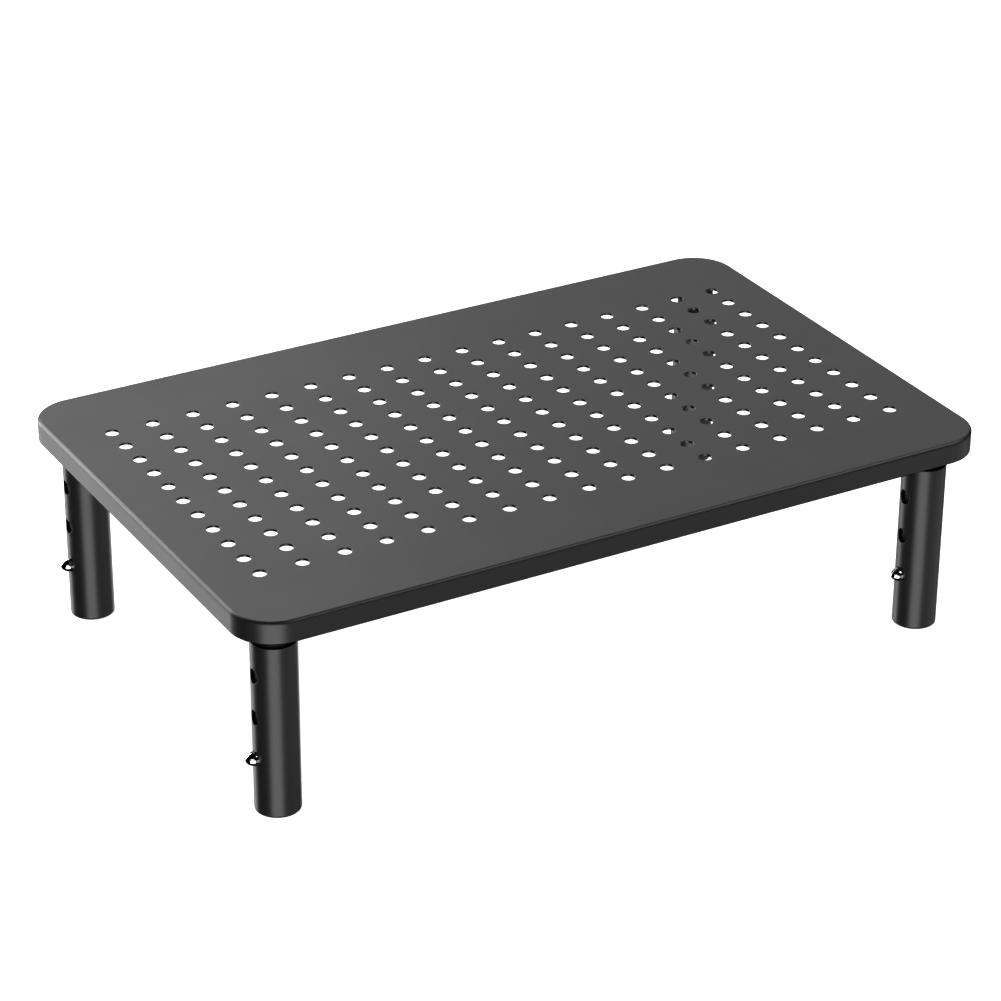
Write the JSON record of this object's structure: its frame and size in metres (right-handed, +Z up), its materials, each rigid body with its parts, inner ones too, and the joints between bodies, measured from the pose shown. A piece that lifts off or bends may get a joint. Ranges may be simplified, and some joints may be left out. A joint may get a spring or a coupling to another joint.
{
  "type": "monitor riser stand",
  "caption": "Rectangular perforated steel platform on telescopic round legs that lock at set heights with sprung snap buttons.",
  "frame": {"origin": "on the ground under the middle of the platform", "axes": "+X to the right along the platform's long side, +Y from front to back, +Z up; the snap buttons face -X"},
  "size_m": [0.37, 0.235, 0.1005],
  "materials": {
    "powder_coat": "satin black powder coat",
    "rubber": "matt",
    "chrome": "bright",
    "spring_steel": "plain"
  },
  "bodies": {
    "platform": {"platform": "powder_coat", "corner_plate_front_left": "powder_coat", "leg_post_front_left": "powder_coat", "leaf_spring_front_left": "spring_steel", "corner_plate_front_right": "powder_coat", "leg_post_front_right": "powder_coat", "leaf_spring_front_right": "spring_steel", "corner_plate_back_left": "powder_coat", "leg_post_back_left": "powder_coat", "leaf_spring_back_left": "spring_steel", "corner_plate_back_right": "powder_coat", "leg_post_back_right": "powder_coat", "leaf_spring_back_right": "spring_steel"},
    "leg_front_left": {"leg_tube_front_left": "powder_coat", "foot_pad_front_left": "rubber"},
    "button_front_left": {"snap_button_front_left": "chrome"},
    "leg_front_right": {"leg_tube_front_right": "powder_coat", "foot_pad_front_right": "rubber"},
    "button_front_right": {"snap_button_front_right": "chrome"},
    "leg_back_left": {"leg_tube_back_left": "powder_coat", "foot_pad_back_left": "rubber"},
    "button_back_left": {"snap_button_back_left": "chrome"},
    "leg_back_right": {"leg_tube_back_right": "powder_coat", "foot_pad_back_right": "rubber"},
    "button_back_right": {"snap_button_back_right": "chrome"}
  },
  "joints": [
    {"name": "leg_slide_front_left", "type": "slide", "parent": "platform", "child": "leg_front_left", "axis": [0, 0, -1], "range_m": [0, 0.04], "deforming": ["snap_button_front_left"]},
    {"name": "button_press_front_left", "type": "slide", "parent": "platform", "child": "button_front_left", "axis": [1, 0, 0], "range_m": [0, 0.006], "stiffness_N_per_m": 1500, "springref_m": -0.001, "deforming": ["leaf_spring_front_left"]},
    {"name": "leg_slide_front_right", "type": "slide", "parent": "platform", "child": "leg_front_right", "axis": [0, 0, -1], "range_m": [0, 0.04], "deforming": ["snap_button_front_right"]},
    {"name": "button_press_front_right", "type": "slide", "parent": "platform", "child": "button_front_right", "axis": [1, 0, 0], "range_m": [0, 0.006], "stiffness_N_per_m": 1500, "springref_m": -0.001, "deforming": ["leaf_spring_front_right"]},
    {"name": "leg_slide_back_left", "type": "slide", "parent": "platform", "child": "leg_back_left", "axis": [0, 0, -1], "range_m": [0, 0.04], "deforming": ["snap_button_back_left"]},
    {"name": "button_press_back_left", "type": "slide", "parent": "platform", "child": "button_back_left", "axis": [1, 0, 0], "range_m": [0, 0.006], "stiffness_N_per_m": 1500, "springref_m": -0.001, "deforming": ["leaf_spring_back_left"]},
    {"name": "leg_slide_back_right", "type": "slide", "parent": "platform", "child": "leg_back_right", "axis": [0, 0, -1], "range_m": [0, 0.04], "deforming": ["snap_button_back_right"]},
    {"name": "button_press_back_right", "type": "slide", "parent": "platform", "child": "button_back_right", "axis": [1, 0, 0], "range_m": [0, 0.006], "stiffness_N_per_m": 1500, "springref_m": -0.001, "deforming": ["leaf_spring_back_right"]}
  ]
}
